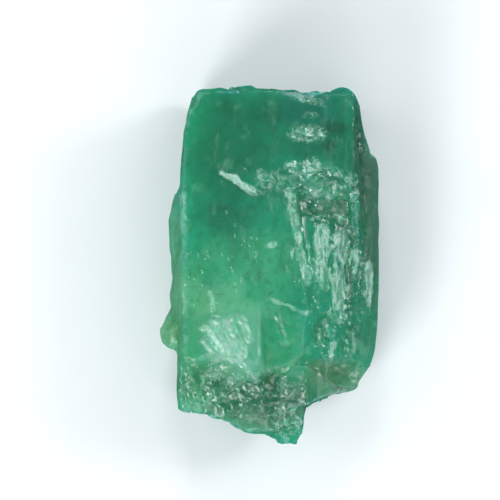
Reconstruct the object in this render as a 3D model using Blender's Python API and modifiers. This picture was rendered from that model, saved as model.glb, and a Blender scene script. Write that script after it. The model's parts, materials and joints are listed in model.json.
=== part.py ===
"""Raw emerald crystal: one broken beryl prism, grown as parallel columns, lying on a prism face.

The crystal's long axis runs along Y and its best face looks up. The origin is under the middle
of its box, on the surface it rests on. The shape is worked in millimetres and turned into metres
once, at the end.
"""

import math
from typing import NamedTuple

import bmesh
import bpy
from mathutils import Matrix, Vector, noise

# Driving dimensions, in millimetres
LENGTH = 14.3
WIDTH = 8.8
THICKNESS = 6.5
BASE_WIDTH = 5.4
FRONT_TILT = math.radians(5.0)
MM = 0.001

# How finely the surface is worked
VOXEL = 0.12
TRIANGLES = 9400
BASE_TRIM = 0.06
# Noise vectors follow the clock unless they are seeded.
FACET_SEED = 1795454814

NODE = "emerald_crystal"

# The relief, as waves a millimetre across and along the crystal, and heights in millimetres
STRIAE_ACROSS = 2.6
STRIAE_ALONG = 0.16
STRIAE_HEIGHT = 0.07
FRONT_CALM = 0.75
RIB_ACROSS = 2.3
RIB_ALONG = 0.5
RIB_HEIGHT = 0.08
WAVE = 0.7
WAVE_HEIGHT = 0.07
END_LUMPS = 0.45
END_LUMP_HEIGHT = 0.3
END_FACET_GRAIN = 1.6
END_FACET_HEIGHT = 0.12
FACET_GAIN = 1.5
PATCH_DROP = 0.3

# The faces of a beryl prism meet at 60 degrees.
STEEP = math.tan(math.radians(60))

# Where the columns that grew side by side begin and end, across the crystal
RIGHT_SIDE = WIDTH / 2
MAIN_RIGHT = RIGHT_SIDE - 0.72
LEFT_SIDE = 0.4 - WIDTH / 2
MAIN_LEFT = LEFT_SIDE + 0.45
FRONT_LEFT = MAIN_LEFT + 0.18
FRONT_RIGHT = MAIN_RIGHT - 0.3

# Seen from above: the edge all round, clockwise from the upper left corner
PLAN = [
    (-2.7, 7.06), (-1.2, 7.1), (1.1, 7.04), (3.2, 7.1),
    (3.46, 6.8), (3.64, 6.4), (3.7, 5.8), (3.84, 5.2), (4.04, 4.6),
    (4.28, 4.38), (4.38, 3.9), (4.4, 1.4), (4.34, -1.4), (4.26, -3.3),
    (4.12, -3.9), (3.78, -4.4), (3.6, -4.76), (3.3, -4.96), (2.8, -5.14),
    (2.1, -5.36), (1.5, -5.66), (1.4, -6.06), (1.34, -6.74), (1.1, -7.1),
    (0.74, -7.06), (-0.34, -6.7), (-1.8, -6.26), (-3.56, -5.84),
    (-3.62, -4.9), (-3.6, -3.5), (-3.8, -3.2), (-4.28, -2.96), (-4.36, -2.6), (-4.12, -2.2),
    (-3.82, -1.7), (-3.94, -1.24), (-3.78, -0.5), (-3.92, 0.9), (-3.98, 1.8),
    (-3.8, 2.7), (-3.48, 3.2), (-3.44, 4.2), (-3.36, 5.3), (-3.16, 6.1), (-3.02, 6.6),
]

# Seen from the right, as (y, z): how the two broken ends slope
SIDE = [
    (6.5, -0.5), (6.7, 1.6), (7.05, 4.6), (7.2, 5.7), (6.96, 6.2), (6.7, 7.2),
    (-4.4, 7.2), (-5.1, 6.0), (-5.7, 5.3), (-6.7, 4.7), (-7.15, 4.1), (-7.2, 2.5),
    (-6.6, 1.3), (-6.1, 0.7), (-5.9, -0.5),
]


class Column(NamedTuple):
    """A prism that runs along Y: its section as (x, z), and where it begins and ends."""

    name: str
    section: list
    low: float
    high: float


class Cut(NamedTuple):
    """Material lifted off inside an outline seen from above, down to a sloping floor.

    The floor passes through a point and rises by `rise_x` and `rise_y` a millimetre. The walls
    lean out by `lean` in X and Y for each millimetre of height. A cut from below takes what is
    under the floor instead.
    """

    name: str
    outline: list
    floor: tuple
    rise_x: float = 0.0
    rise_y: float = 0.0
    lean: tuple = (0.0, 0.0)
    below: bool = False


class Scoop(NamedTuple):
    """A shell-shaped chip: an ellipsoid taken out of the surface."""

    name: str
    centre: tuple
    radii: tuple
    turn: float = 0.0


class Rough(NamedTuple):
    """A patch of broken surface, seen from above: its reach, its depth and the size of its grain."""

    name: str
    centre: tuple
    radii: tuple
    depth: float
    grain: float


def front(x):
    """The height of the broad front face, which leans a little to the left."""
    return THICKNESS - (FRONT_RIGHT - x) * math.tan(FRONT_TILT)


def main_section():
    """The thick middle column: flat base and front, steep sides."""
    base_right = BASE_WIDTH / 2 + 0.1
    base_left = base_right - BASE_WIDTH
    return [
        (base_left, 0.0),
        (base_right, 0.0),
        (MAIN_RIGHT, (MAIN_RIGHT - base_right) * STEEP),
        (MAIN_RIGHT, THICKNESS - (MAIN_RIGHT - FRONT_RIGHT) * STEEP),
        (FRONT_RIGHT, THICKNESS),
        (FRONT_LEFT, front(FRONT_LEFT)),
        (MAIN_LEFT, front(FRONT_LEFT) - (FRONT_LEFT - MAIN_LEFT) * STEEP),
        (MAIN_LEFT, (base_left - MAIN_LEFT) * STEEP),
    ]


COLUMNS = [
    Column("main", main_section(), -LENGTH, LENGTH),
    Column("left", [(-2.0, 0.4), (LEFT_SIDE, 2.5), (LEFT_SIDE - 0.05, 3.9), (-3.3, 4.9), (-2.0, 5.0)],
           -LENGTH, 2.9),
    Column("right", [(2.4, 0.5), (3.3, 0.5), (RIGHT_SIDE, 2.1), (RIGHT_SIDE, 3.9), (4.1, 4.5), (2.4, 4.9)],
           -LENGTH, 5.9),
]

NUB_CENTRE = (-3.7, -2.66, 3.4)
NUB_RADII = (0.85, 0.95, 1.5)

# The right part of the front is broken down to a face that falls away to the right.
RIGHT_FACE_FALL = -math.tan(math.radians(31))
RIGHT_FACE_EDGE = 1.35
RIGHT_FACE_END = MAIN_RIGHT + 0.02

CUTS = [
    # The surface below the upper slab lies lower, behind a jagged scarp.
    Cut("below_scarp",
        [(-5.0, 3.1), (-3.4, 3.3), (-1.9, 3.6), (-0.6, 2.75), (-0.1, 2.9), (0.4, 3.2), (0.6, 3.5),
         (1.1, 3.45), (1.8, 3.05), (2.75, 2.35), (3.2, 1.75), (5.0, 1.2), (5.0, -4.8), (-5.0, -4.8)],
        (0.0, 0.0, front(0.0) - 0.28), math.tan(FRONT_TILT) - 0.12, lean=(0.4, 1.8)),
    # The striated face, the rubble slope that leads down to it, and the lower face below it
    Cut("right_face", [(RIGHT_FACE_EDGE, 2.6), (2.2, 2.3), (3.0, 1.6), (RIGHT_FACE_END, 0.8),
                       (RIGHT_FACE_END, -7.0), (RIGHT_FACE_EDGE, -7.0)],
        (RIGHT_FACE_EDGE, 0.0, THICKNESS - 0.55), RIGHT_FACE_FALL, lean=(0.0, 1.2)),
    Cut("scarp_slope", [(0.9, 3.5), (1.4, 3.6), (2.2, 3.2), (3.0, 2.4), (3.6, 1.6), (5.0, 1.4), (5.0, 0.9),
                        (1.3, 1.8)],
        (1.3, 4.2, THICKNESS - 0.15), -0.16, 0.42, lean=(-0.3, 1.2)),
    Cut("right_slope", [(1.5, -1.9), (2.6, -2.4), (5.0, -2.1), (5.0, -6.5), (1.5, -6.5)],
        (RIGHT_FACE_EDGE, -2.0, THICKNESS - 0.58), RIGHT_FACE_FALL, 0.16, lean=(-0.4, 1.0)),
    # The trough between the front face and the striated one
    Cut("trough", [(1.0, 2.9), (1.35, 3.1), (1.75, 2.4), (1.75, 0.3), (1.4, -0.7), (1.1, 0.3)],
        (1.4, 1.5, THICKNESS - 0.85), -0.35, -0.1),
    # The smooth strip right of the pale plateau
    Cut("smooth_strip", [(-0.3, -1.6), (0.2, -1.2), (1.6, -1.1), (1.6, -4.6), (0.4, -5.2), (-0.3, -4.9)],
        (0.6, -1.3, THICKNESS - 0.58), -0.02, 0.13),
    Cut("right_chamfer", [(1.2, -3.9), (2.6, -3.6), (5.0, -3.1), (5.0, -7.0), (1.2, -7.0)],
        (2.6, -3.6, 5.0), -0.5, 0.75, lean=(-0.8, 1.0)),
    # The broken lower end
    Cut("lower_break", [(-5.0, -4.5), (-2.6, -4.3), (-0.9, -4.9), (0.4, -4.8), (1.5, -4.6),
                        (1.5, -8.0), (-5.0, -8.0)],
        (-1.0, -4.2, 5.6), 0.03, 0.4, lean=(0.5, 1.5)),
    Cut("under_tail", [(0.0, -5.9), (3.0, -4.9), (3.0, -8.0), (-1.0, -8.0), (-1.0, -6.2)],
        (1.0, -6.5, 1.9), 0.1, -0.7, below=True),
    Cut("under_right", [(2.6, 8.0), (5.0, 8.0), (5.0, 3.2), (3.2, 3.6)],
        (4.0, 5.7, 1.5), 0.9, 0.25, below=True),
    Cut("upper_right_corner", [(3.45, 8.0), (3.5, 5.2), (3.62, 3.8), (5.0, 3.4), (5.0, 8.0)],
        (3.6, 5.7, 4.4), -0.75, -0.1),
]

SCOOPS = [
    Scoop("upper_chip", (1.5, 5.2, THICKNESS + 0.2), (0.85, 0.42, 0.42), 0.2),
    Scoop("upper_small_chip", (1.6, 6.0, THICKNESS + 0.2), (0.5, 0.25, 0.32), -0.3),
    Scoop("top_edge_chip", (1.5, 6.9, THICKNESS + 0.05), (1.1, 0.45, 0.3), -0.25),
    Scoop("corner_chip", (-3.35, 6.75, 6.2), (0.6, 0.6, 0.8), 0.0),
    Scoop("left_chip", (-4.5, 0.9, 5.1), (1.1, 1.9, 1.0), 0.1),
    Scoop("centre_dish", (-1.3, 1.2, THICKNESS + 2.1), (2.6, 2.2, 2.55), -0.5),
    Scoop("left_flake", (-4.3, -0.9, THICKNESS + 1.3), (1.9, 2.6, 2.1), 0.15),
    Scoop("left_lower_flake", (-4.2, -3.1, THICKNESS + 0.95), (1.5, 1.6, 1.8), -0.2),
    Scoop("lower_pit", (2.6, -2.5, 6.0), (1.2, 1.0, 1.05), 0.7),
    Scoop("lower_pit_side", (3.3, -3.1, 5.5), (0.7, 1.3, 1.0), -0.3),
    Scoop("lower_left_pit", (-2.3, -4.8, 8.3), (2.4, 1.9, 3.1), 0.3),
    Scoop("top_end_dish", (0.6, 8.3, 3.6), (2.2, 1.5, 1.7), 0.0),
    Scoop("bottom_end_dish", (-2.0, -7.6, 2.6), (1.8, 1.7, 1.9), 0.2),
    Scoop("under_chip", (-3.2, -4.4, 0.2), (1.2, 1.5, 0.9), 0.3),
    Scoop("under_corner_chip", (-2.9, 5.9, 0.1), (1.1, 1.6, 0.8), -0.2),
    Scoop("right_side_chip", (4.9, -0.4, 1.4), (0.9, 2.2, 0.8), 0.0),
]

PATCHES = [
    Rough("scarp_rubble", (0.9, 3.1), (1.3, 0.9), 0.16, 0.45),
    Rough("scarp_rubble_right", (2.6, 2.9), (1.4, 1.1), 0.13, 0.4),
    Rough("ridge", (1.05, 1.2), (0.35, 1.7), 0.08, 0.35),
    Rough("centre", (-0.2, -0.1), (0.7, 0.5), 0.08, 0.45),
    Rough("lower_right", (2.8, -2.8), (1.0, 1.6), 0.14, 0.5),
    Rough("lower_band", (-1.6, -4.7), (2.3, 0.9), 0.2, 0.5),
    Rough("lower_middle", (0.6, -4.9), (1.4, 0.6), 0.16, 0.4),
    Rough("tail", (0.8, -6.3), (1.2, 1.0), 0.22, 0.5),
]


def smooth(value, low, high):
    """0 below `low`, 1 above `high`, and a soft ramp between."""
    share = min(max((value - low) / (high - low), 0.0), 1.0)
    return share * share * (3.0 - 2.0 * share)


def link(mesh, name, collection):
    """An object for a mesh or curve, in a collection."""
    obj = bpy.data.objects.new(name, mesh)
    collection.objects.link(obj)
    return obj


def evaluated_mesh(obj):
    """The object's mesh as its modifiers leave it."""
    depsgraph = bpy.context.evaluated_depsgraph_get()
    return bpy.data.meshes.new_from_object(obj.evaluated_get(depsgraph))


def extruded(name, outline, collection):
    """A closed solid: a flat outline in XY with a thickness of twice the length, about Z = 0."""
    curve = bpy.data.curves.new(name, "CURVE")
    curve.dimensions = "2D"
    curve.fill_mode = "BOTH"
    curve.extrude = LENGTH
    spline = curve.splines.new("POLY")
    spline.points.add(len(outline) - 1)
    for point, place in zip(spline.points, outline):
        point.co = (place[0], place[1], 0.0, 1.0)
    spline.use_cyclic_u = True
    source = link(curve, name, collection)
    mesh = evaluated_mesh(source)
    bpy.data.objects.remove(source)
    work = bmesh.new()
    work.from_mesh(mesh)
    bmesh.ops.remove_doubles(work, verts=work.verts, dist=0.0001)
    bmesh.ops.triangulate(work, faces=work.faces[:])
    bmesh.ops.recalc_face_normals(work, faces=work.faces)
    work.to_mesh(mesh)
    work.free()
    return link(mesh, name, collection)


def along_y(column, collection):
    """A column: its section stood up on the XZ plane and cut to its length."""
    obj = extruded(column.name, column.section, collection)
    obj.data.transform(Matrix.Rotation(math.radians(90), 4, "X"))
    for vertex in obj.data.vertices:
        vertex.co.y = column.high if vertex.co.y > 0 else column.low
    return obj


def along_x(name, outline, collection):
    """A solid whose outline is seen from the right, as (y, z)."""
    obj = extruded(name, outline, collection)
    # (x, y) of the flat outline becomes (y, z), and its thickness runs along X.
    obj.data.transform(Matrix(((0, 0, 1, 0), (1, 0, 0, 0), (0, 1, 0, 0), (0, 0, 0, 1))))
    return obj


def floor_cutter(cut, collection):
    """The solid that a Cut takes away: its outline from the sloping floor to well past the crystal."""
    obj = extruded(cut.name, cut.outline, collection)
    floor_x, floor_y, floor_z = cut.floor
    for vertex in obj.data.vertices:
        floor = (floor_z + (vertex.co.x - floor_x) * cut.rise_x
                 + (vertex.co.y - floor_y) * cut.rise_y)
        if (vertex.co.z < 0) != cut.below:
            vertex.co.z = floor
        else:
            vertex.co.z = -LENGTH if cut.below else LENGTH
            vertex.co.x += cut.lean[0] * (LENGTH - floor_z)
            vertex.co.y += cut.lean[1] * (LENGTH - floor_z)
    return obj


def ellipsoid(name, centre, radii, turn, collection):
    """A faceted ellipsoid, turned about Z."""
    work = bmesh.new()
    place = (Matrix.Translation(centre) @ Matrix.Rotation(turn, 4, "Z")
             @ Matrix.Diagonal((*radii, 1.0)))
    bmesh.ops.create_icosphere(work, subdivisions=3, radius=1.0, matrix=place)
    mesh = bpy.data.meshes.new(name)
    work.to_mesh(mesh)
    work.free()
    return link(mesh, name, collection)


def combine(body, other, operation):
    """One Boolean step, applied, with the other solid kept as a hidden cutter."""
    modifier = body.modifiers.new(other.name, "BOOLEAN")
    modifier.operation = operation
    modifier.object = other
    modifier.solver = "EXACT"
    result = evaluated_mesh(body)
    body.modifiers.clear()
    body.data = result
    other.hide_render = True
    other.display_type = "WIRE"


def remeshed(body):
    """Turn the joined solid into one even skin that can take the relief."""
    modifier = body.modifiers.new("skin", "REMESH")
    modifier.mode = "VOXEL"
    modifier.voxel_size = VOXEL
    body.data = evaluated_mesh(body)
    body.modifiers.clear()


def facets(point, grain):
    """Flat broken facets: in each cell the height is a plane with its own tilt."""
    place = point / grain
    cell = noise.voronoi(place)[1][0]
    tilt = noise.noise_vector(cell * 3.7)
    return tilt.dot(place - cell)


def relief(point, normal):
    """How far the surface stands out at a point, in millimetres."""
    above_base = smooth(point.z, 0.1, 0.6)
    end = smooth(abs(normal.y), 0.45, 0.8)
    upper = smooth(normal.z, 0.2, 0.7)
    right_face = smooth(point.x, 1.5, 2.0) * (1.0 - smooth(point.y, 1.8, 2.6))

    # Striations run the length of the prism faces and are deepest on the right one.
    across = Vector((point.x * STRIAE_ACROSS, point.y * STRIAE_ALONG, point.z * STRIAE_ACROSS))
    calm = 1.0 - FRONT_CALM * upper * (1.0 - right_face)
    height = noise.fractal(across, 0.9, 2.0, 3) * STRIAE_HEIGHT * (1.0 - end) * calm
    striated = right_face * upper * smooth(point.y, -3.2, -1.8)
    ribs = Vector((point.x * RIB_ACROSS, point.y * RIB_ALONG, 5.0))
    height += striated * noise.noise(ribs) * RIB_HEIGHT

    # Slow waves, so that no face is a perfect plane
    height += noise.noise(point * WAVE) * WAVE_HEIGHT

    # The broken ends are stepped and shelly.
    lumps = noise.fractal(point * END_LUMPS, 0.8, 2.0, 3) * END_LUMP_HEIGHT
    height += end * (lumps + (facets(point, END_FACET_GRAIN) - 1.0) * END_FACET_HEIGHT)

    for patch in PATCHES:
        offset_x = (point.x - patch.centre[0]) / patch.radii[0]
        offset_y = (point.y - patch.centre[1]) / patch.radii[1]
        inside = 1.0 - smooth(math.hypot(offset_x, offset_y), 0.6, 1.1)
        if inside > 0.0:
            broken = facets(point, patch.grain) * FACET_GAIN - PATCH_DROP
            height += inside * upper * patch.depth * broken
    return height * above_base


def carve(body):
    """Move every point of the skin out or in by the relief."""
    work = bmesh.new()
    work.from_mesh(body.data)
    work.normal_update()
    noise.seed_set(FACET_SEED)
    moves = [(vertex, vertex.normal * relief(vertex.co, vertex.normal)) for vertex in work.verts]
    for vertex, move in moves:
        vertex.co += move
    work.to_mesh(body.data)
    work.free()


def thinned(body):
    """Fewer, larger triangles where the faces are flat."""
    body.data.calc_loop_triangles()
    modifier = body.modifiers.new("thin", "DECIMATE")
    modifier.ratio = TRIANGLES / len(body.data.loop_triangles)
    modifier.use_collapse_triangulate = True
    body.data = evaluated_mesh(body)
    body.modifiers.clear()


def set_down(body):
    """Trim the resting face flat, and bring the crystal to its place and to metres."""
    work = bmesh.new()
    work.from_mesh(body.data)
    everything = work.verts[:] + work.edges[:] + work.faces[:]
    bmesh.ops.bisect_plane(work, geom=everything, dist=0.0001, plane_co=(0, 0, BASE_TRIM),
                           plane_no=(0, 0, 1), clear_inner=True)
    rim = [edge for edge in work.edges if edge.is_boundary]
    bmesh.ops.holes_fill(work, edges=rim)
    bmesh.ops.triangulate(work, faces=work.faces[:])
    low = Vector([min(vertex.co[axis] for vertex in work.verts) for axis in range(3)])
    high = Vector([max(vertex.co[axis] for vertex in work.verts) for axis in range(3)])
    middle = (low + high) / 2
    bmesh.ops.translate(work, verts=work.verts, vec=(-middle.x, -middle.y, -BASE_TRIM))
    bmesh.ops.scale(work, verts=work.verts, vec=(MM, MM, MM))
    bmesh.ops.recalc_face_normals(work, faces=work.faces)
    work.to_mesh(body.data)
    work.free()


def emerald():
    """Green beryl: glossy and a little see-through."""
    material = bpy.data.materials.new("emerald")
    material.use_nodes = True
    shader = material.node_tree.nodes["Principled BSDF"]
    shader.inputs["Base Color"].default_value = (0.05, 0.36, 0.2, 1.0)
    shader.inputs["Roughness"].default_value = 0.25
    shader.inputs["Metallic"].default_value = 0.0
    shader.inputs["IOR"].default_value = 1.58
    material.diffuse_color = (0.05, 0.36, 0.2, 1.0)
    return material


def main():
    for obj in list(bpy.data.objects):
        bpy.data.objects.remove(obj)
    parts = bpy.data.collections.new("raw_emerald_crystal")
    cutters = bpy.data.collections.new("cutters")
    bpy.context.scene.collection.children.link(parts)
    bpy.context.scene.collection.children.link(cutters)

    crystal = along_y(COLUMNS[0], parts)
    crystal.name = NODE
    for column in COLUMNS[1:]:
        combine(crystal, along_y(column, cutters), "UNION")
    combine(crystal, ellipsoid("nub", NUB_CENTRE, NUB_RADII, 0.0, cutters), "UNION")
    combine(crystal, extruded("plan", PLAN, cutters), "INTERSECT")
    combine(crystal, along_x("side", SIDE, cutters), "INTERSECT")
    for cut in CUTS:
        combine(crystal, floor_cutter(cut, cutters), "DIFFERENCE")
    for scoop in SCOOPS:
        cutter = ellipsoid(scoop.name, scoop.centre, scoop.radii, scoop.turn, cutters)
        combine(crystal, cutter, "DIFFERENCE")

    remeshed(crystal)
    carve(crystal)
    thinned(crystal)
    set_down(crystal)
    crystal.data.name = NODE
    crystal.data.materials.clear()
    crystal.data.materials.append(emerald())


main()
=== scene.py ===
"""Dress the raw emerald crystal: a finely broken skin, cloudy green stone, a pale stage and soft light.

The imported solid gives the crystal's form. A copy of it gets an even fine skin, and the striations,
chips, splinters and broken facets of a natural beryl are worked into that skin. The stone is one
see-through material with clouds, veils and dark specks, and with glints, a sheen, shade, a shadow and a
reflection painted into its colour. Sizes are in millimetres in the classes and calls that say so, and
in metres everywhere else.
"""

import json
import logging
import math
from dataclasses import dataclass, field
from enum import Enum

import bpy
from mathutils import Matrix, Vector, noise

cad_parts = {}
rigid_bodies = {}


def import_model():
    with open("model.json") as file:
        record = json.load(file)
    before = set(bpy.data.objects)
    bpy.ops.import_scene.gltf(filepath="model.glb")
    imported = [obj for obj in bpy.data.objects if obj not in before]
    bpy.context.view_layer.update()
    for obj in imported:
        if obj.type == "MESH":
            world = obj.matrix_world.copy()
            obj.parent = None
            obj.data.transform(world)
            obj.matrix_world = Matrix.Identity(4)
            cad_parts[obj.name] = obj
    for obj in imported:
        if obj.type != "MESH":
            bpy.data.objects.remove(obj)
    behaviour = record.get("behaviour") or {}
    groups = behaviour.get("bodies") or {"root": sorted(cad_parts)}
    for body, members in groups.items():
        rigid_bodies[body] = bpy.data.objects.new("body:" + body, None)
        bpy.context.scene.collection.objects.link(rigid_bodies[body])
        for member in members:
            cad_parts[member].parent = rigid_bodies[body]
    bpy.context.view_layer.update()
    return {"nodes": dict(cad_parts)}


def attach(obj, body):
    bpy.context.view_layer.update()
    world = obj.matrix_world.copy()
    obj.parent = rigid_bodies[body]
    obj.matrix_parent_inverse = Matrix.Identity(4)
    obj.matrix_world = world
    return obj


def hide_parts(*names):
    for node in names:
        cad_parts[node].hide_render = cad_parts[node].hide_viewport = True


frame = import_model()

LOG = logging.getLogger("emerald")
NODE = "emerald_crystal"
BODY = "root"
MM = 0.001
Point = tuple[float, float]
Colour = tuple[float, float, float, float]
Socket = bpy.types.NodeSocket

# A patch's rim: the waves a millimetre and heights that make it ragged, and where it fades
RIM_WAVES = (2.2, 6.5)
RIM_HEIGHTS = (0.25, 0.22)
RIM = (0.7, 1.05)
PAST_RIM = 1.5

# A ledge's line wanders by these waves a millimetre and shares of its width.
LINE_WAVES = (1.8, 5.0)
LINE_WANDER = (0.6, 0.35)
# Where the steep side of a ledge gets its painted glint: waves a millimetre, and reach as shares of its
# width.
GLINT_WAVES = 2.6
GLINT_REACH = (0.52, 0.35)

# How broken the skin is where it counts as broken
BROKEN = 0.4


def slope(value: float, low: float, high: float) -> float:
    """Rise evenly from 0 to 1 between two values.

    Args:
        value: The value to place.
        low: Where the rise starts.
        high: Where the rise ends.

    Returns:
        A share from 0 to 1.
    """
    return min(max((value - low) / (high - low), 0.0), 1.0)


def ramp(value: float, low: float, high: float) -> float:
    """Rise softly from 0 to 1 between two values.

    Args:
        value: The value to place.
        low: Where the rise starts.
        high: Where the rise ends.

    Returns:
        A share from 0 to 1.
    """
    share = slope(value, low, high)
    return share * share * (3.0 - 2.0 * share)


def chance(*parts: int) -> float:
    """Give a fixed random value for some whole numbers.

    Args:
        parts: Up to three whole numbers.

    Returns:
        A value from -1 to 1, always the same for the same numbers.
    """
    steps = (127.1, 311.7, 74.7)
    mixed = math.sin(sum(part * step for part, step in zip(parts, steps))) * 43758.5453
    return (mixed - math.floor(mixed)) * 2.0 - 1.0


def srgb(red: int, green: int, blue: int) -> Colour:
    """Turn a colour given as 0 to 255 into the linear values that a shader takes.

    Args:
        red: The red part.
        green: The green part.
        blue: The blue part.

    Returns:
        Linear red, green, blue and an alpha of 1.
    """
    parts = [part / 255.0 for part in (red, green, blue)]
    linear = [part / 12.92 if part <= 0.04045 else ((part + 0.055) / 1.055) ** 2.4 for part in parts]
    return (linear[0], linear[1], linear[2], 1.0)


def make_active(obj: bpy.types.Object) -> None:
    """Select one object alone and make it the active one.

    Args:
        obj: The object that the next operators work on.
    """
    bpy.ops.object.select_all(action="DESELECT")
    obj.select_set(True)
    bpy.context.view_layer.objects.active = obj


class Break(Enum):
    """The ways in which the crystal's surface is broken.

    Each has the shrink of its pattern along the crystal, the pattern's turn, its cells a
    millimetre, and the share of the even skin that is kept when it is cleaved into facets.
    """

    RUBBLE = (1.0, 0.0, 5.0, 0.11)
    SPLINTER = (0.28, 0.0, 5.0, 0.3)
    GLAZE = (0.22, 0.63, 5.0, 1.0)
    GLITTER = (0.4, 0.3, 15.0, 1.0)

    def __init__(self, shrink: float, turn: float, cells: float, kept: float) -> None:
        """Name the values of one kind of break.

        Args:
            shrink: The shrink of its pattern along the crystal.
            turn: The pattern's turn, in radians.
            cells: The pattern's cells a millimetre.
            kept: The share of the even skin that is kept when it is cleaved.
        """
        self.shrink = shrink
        self.turn = turn
        self.cells = cells
        self.kept = kept

    @property
    def layer(self) -> str:
        """The name of the mesh attribute that says how far the skin is broken in this way."""
        return self.name.lower()

    @property
    def painted_glint_layer(self) -> str:
        """The name of the mesh attribute that says how strongly a glint is painted on this kind of
        break.
        """
        return f"painted_glint_{self.layer}"


@dataclass(frozen=True)
class Patch:
    """A broken patch, in millimetres, seen from above."""

    name: str
    kind: Break
    centre: Point
    radii: Point
    depth: float
    grain: float
    turn: float = 0.0
    painted_glint: float = 0.0

    def share(self, place: Vector) -> float:
        """How much of the patch a point gets.

        Args:
            place: A point in millimetres.

        Returns:
            1 in the middle, 0 outside, and a soft ragged rim between.
        """
        offset_x = place.x - self.centre[0]
        offset_y = place.y - self.centre[1]
        turned_x = offset_x * math.cos(self.turn) + offset_y * math.sin(self.turn)
        turned_y = offset_y * math.cos(self.turn) - offset_x * math.sin(self.turn)
        reach = math.hypot(turned_x / self.radii[0], turned_y / self.radii[1])
        if reach > PAST_RIM:
            return 0.0
        ragged = reach + noise.noise(place * RIM_WAVES[0]) * RIM_HEIGHTS[0]
        ragged += noise.noise(place * RIM_WAVES[1]) * RIM_HEIGHTS[1]
        return 1.0 - ramp(ragged, *RIM)


@dataclass(frozen=True)
class Ledge:
    """A crest with one steep side, in millimetres, seen from above.

    The steep side lies to the right of the way from start to end, and the back sinks away slowly.
    """

    name: str
    start: Point
    end: Point
    drop: float
    width: float
    back: float = 0.7
    painted_glint: float = 0.0

    def lie(self, place: Vector) -> tuple[float, float]:
        """Where a point lies against the ledge.

        Args:
            place: A point in millimetres.

        Returns:
            How far off it is on the back's side, in millimetres, and how far along, from 0 to 1.
        """
        way_x = self.end[0] - self.start[0]
        way_y = self.end[1] - self.start[1]
        length = math.hypot(way_x, way_y)
        offset_x = place.x - self.start[0]
        offset_y = place.y - self.start[1]
        along = (offset_x * way_x + offset_y * way_y) / length ** 2
        across = (offset_y * way_x - offset_x * way_y) / length
        return across, along

    def effect(self, place: Vector) -> tuple[float, float]:
        """How far the ledge lifts a point and how strongly it paints a glint there.

        Args:
            place: A point in millimetres.

        Returns:
            A height in millimetres and a painted glint from 0 to about 1, both 0 away from the ledge.
        """
        across, along = self.lie(place)
        if not (0.0 < along < 1.0 and -self.width < across < self.back):
            return 0.0, 0.0
        line = zip(LINE_WAVES, LINE_WANDER)
        broad, fine = (noise.noise(place * waves) * wander for waves, wander in line)
        across += (broad + fine) * self.width
        ends = ramp(along, 0.0, 0.15) * (1.0 - ramp(along, 0.85, 1.0))
        half = self.width / 2
        lift = slope(across, -half, half) * (1.0 - slope(across, half, self.back))
        # The pale glint is painted along the steep side, out to a wavering reach.
        reach = self.width * (GLINT_REACH[0] + GLINT_REACH[1] * noise.noise(place * GLINT_WAVES))
        steep = 1.0 - slope(abs(across), reach * 0.8, reach * 1.2)
        return self.drop * lift * ends, self.painted_glint * steep * ends


@dataclass(frozen=True)
class Plateau:
    """The face low on the left that is painted pale as a sheen of caught light, in millimetres: soft all
    round but for its crisp right side.
    """

    left: Point = (-3.1, -1.7)
    right: Point = (-0.42, -0.3)
    bottom: Point = (-5.0, -4.2)
    top: Point = (-1.9, -1.3)
    lean: float = 0.06
    ragged_left: float = 0.6
    ragged_right: float = 0.1
    ragged_bottom: float = 0.5
    ragged_top: float = 0.3
    ragged_waves: float = 1.3

    def share(self, place: Vector) -> float:
        """How strongly the plateau's pale sheen is painted on a point.

        Args:
            place: A point in millimetres.

        Returns:
            A share from 0 to 1.
        """
        if not (self.left[0] < place.x < self.right[1] + 1.0 and self.bottom[0] < place.y < self.top[1]):
            return 0.0
        ragged = noise.noise(place * self.ragged_waves)
        side = place.x + (place.y - self.top[0]) * self.lean + ragged * self.ragged_right
        left = ramp(place.x + ragged * self.ragged_left, *self.left)
        bottom = ramp(place.y + ragged * self.ragged_bottom, *self.bottom)
        up = bottom * (1.0 - ramp(place.y + ragged * self.ragged_top, *self.top))
        return left * up * (1.0 - ramp(side, *self.right))


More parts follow.
